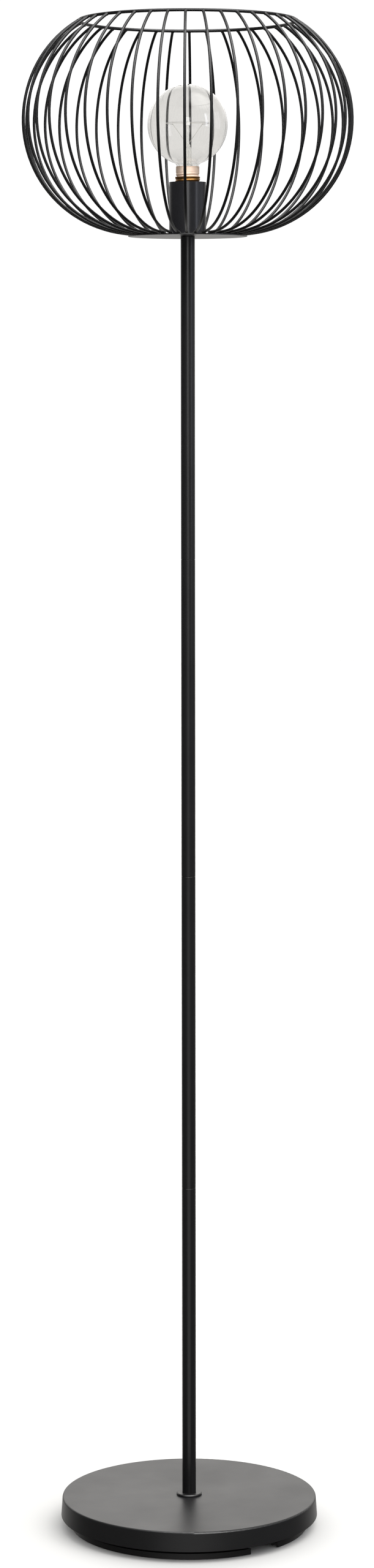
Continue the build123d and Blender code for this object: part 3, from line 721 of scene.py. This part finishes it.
# A very wide soft light picks out the cap, so that it stands pale against the black holder, and
# the wires inside the globe. The globe doesn't stop it.
cap_light = soft_box(
    "cap_light", (0, -1.6, 2.0), (0, 0, cap_high.z), width=5.0, height=1.4, glow=2.0, tint=WARM_WHITE
)
picked_out = bpy.data.collections.new("picked_out")
picked_out.objects.link(cap)
cap_light.light_linking.receiver_collection = picked_out
let_through = bpy.data.collections.new("let_through")
let_through.objects.link(globe)
let_through.collection_objects[-1].light_linking.link_state = "EXCLUDE"
cap_light.light_linking.blocker_collection = let_through

# The stem is lead glass, flared at the foot and pinched flat where the leads come through. Below
# it, black fused glass keeps the solder tip apart from the cap, and brown cement holds the neck.
stem_glass = clear_glass("lead_glass_stem", "#fbfbf9", 0.3 * MM)
dress(["bulb_stem"], stem_glass)
dress(["bulb_insulator"], moulded_black("black_fused_glass", "#08080a", 3 * MM, 0.01 * MM, 0.12))
dress(["bulb_tip"], rolled_metal("flowed_tin_solder", "#c9c9c6", "#a5a5a2", 0.4, 2 * MM))
dress(["bulb_cement"], moulded_black("brown_basing_cement", "#6b4a34", 0.6 * MM, 0.1 * MM, 0.9))

# The filament is tungsten wire, wound to a fine coil and bent round into three quarters of a
# wreath. Its turns are drawn several times coarser than real ones, which no picture would show.
COIL_RADIUS = 0.25 * MM
COIL_WIRE = 0.05 * MM
COIL_PITCH = 0.45 * MM
WREATH_START = radians(135)
WREATH_SWEEP = radians(270)
wreath_low, wreath_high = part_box("bulb_filament")
WREATH_RADIUS = 24 * MM
wreath_z = (wreath_low.z + wreath_high.z) / 2
coil_turns = int(WREATH_RADIUS * WREATH_SWEEP / COIL_PITCH)
tungsten = rolled_metal("drawn_tungsten", "#c9cacb", "#acadaf", 0.5, 3 * MM)
bpy.ops.object.select_all(action="DESELECT")
bpy.ops.mesh.primitive_circle_add(
    vertices=5, radius=COIL_WIRE, location=(COIL_RADIUS, 0, 0), rotation=(pi / 2, 0, 0)
)
filament = bpy.context.object
bpy.ops.object.transform_apply(location=True, rotation=True, scale=True)
winding = filament.modifiers.new("winding", "SCREW")
winding.screw_offset = COIL_PITCH
winding.iterations = coil_turns
winding.steps = winding.render_steps = 10
bpy.ops.object.modifier_apply(modifier=winding.name)
for corner in filament.data.vertices:
    out, up, along = corner.co
    turned = WREATH_START + WREATH_SWEEP * along / (coil_turns * COIL_PITCH)
    corner.co = ((WREATH_RADIUS + out) * cos(turned), (WREATH_RADIUS + out) * sin(turned), wreath_z + up)
bpy.ops.object.mode_set(mode="EDIT")
bpy.ops.mesh.select_all(action="SELECT")
bpy.ops.mesh.fill_holes(sides=0)
finish_piece(filament, "bulb_filament_coil", tungsten, "bulb", 80)
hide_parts("bulb_filament")
picked_out.objects.link(filament)

# Five thin hooks of nickel wire hold the wreath, and two leads are crimped round its ends. Each
# ends in a small eye round the coil.
SUPPORT_WIRE = 0.13 * MM
LEAD_WIRE = 0.2 * MM
EYE_RADIUS = 0.45 * MM
nickel = rolled_metal("nickel_wire", "#d8d5cd", "#bdb9b0", 0.45, 3 * MM)


def eyed_wire(start, end, radius, turned):
    """A straight round wire with an eye at its far end, which stands across the wreath."""
    start, end = Vector(start), Vector(end)
    way = end - start
    bpy.ops.object.select_all(action="DESELECT")
    bpy.ops.mesh.primitive_cylinder_add(
        vertices=8,
        radius=radius,
        depth=way.length,
        location=(start + end) / 2,
        rotation=way.to_track_quat("Z", "Y").to_euler(),
    )
    wire = bpy.context.object
    bpy.ops.mesh.primitive_torus_add(
        major_segments=16,
        minor_segments=6,
        major_radius=EYE_RADIUS,
        minor_radius=radius,
        location=(WREATH_RADIUS * cos(turned), WREATH_RADIUS * sin(turned), wreath_z),
        rotation=(pi / 2, 0, turned),
    )
    wire.select_set(True)
    bpy.ops.object.join()
    bpy.ops.object.transform_apply(location=True, rotation=True, scale=True)
    return bpy.context.object


def join_wires(wires, name, replaced):
    """Makes one piece of the wires, in the place of a plain CAD node."""
    bpy.ops.object.select_all(action="DESELECT")
    for wire in wires:
        wire.select_set(True)
    bpy.context.view_layer.objects.active = wires[0]
    bpy.ops.object.join()
    finish_piece(bpy.context.object, name, nickel, "bulb", 50)
    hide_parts(replaced)
    picked_out.objects.link(bpy.context.object)


SUPPORT_COUNT = 5
BUTTON_RADIUS = 2.5 * MM
hooks = []
for number in range(SUPPORT_COUNT):
    turned = WREATH_START + WREATH_SWEEP * (number + 1) / (SUPPORT_COUNT + 1)
    out = Vector((cos(turned), sin(turned), 0))
    level = Vector((0, 0, wreath_z))
    inner = level + out * BUTTON_RADIUS
    outer = level + out * (WREATH_RADIUS - EYE_RADIUS)
    hooks.append(eyed_wire(inner, outer, SUPPORT_WIRE, turned))
join_wires(hooks, "filament_hooks", "bulb_supports")

leads_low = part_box("bulb_leads")[0]
LEAD_START = 2.0 * MM
leads = []
for turned in (WREATH_START, WREATH_START + WREATH_SWEEP):
    out = Vector((cos(turned), sin(turned), 0))
    low = out * LEAD_START + Vector((0, 0, leads_low.z + LEAD_WIRE))
    high = out * (WREATH_RADIUS - EYE_RADIUS) + Vector((0, 0, wreath_z))
    leads.append(eyed_wire(low, high, LEAD_WIRE, turned))
join_wires(leads, "filament_leads", "bulb_leads")
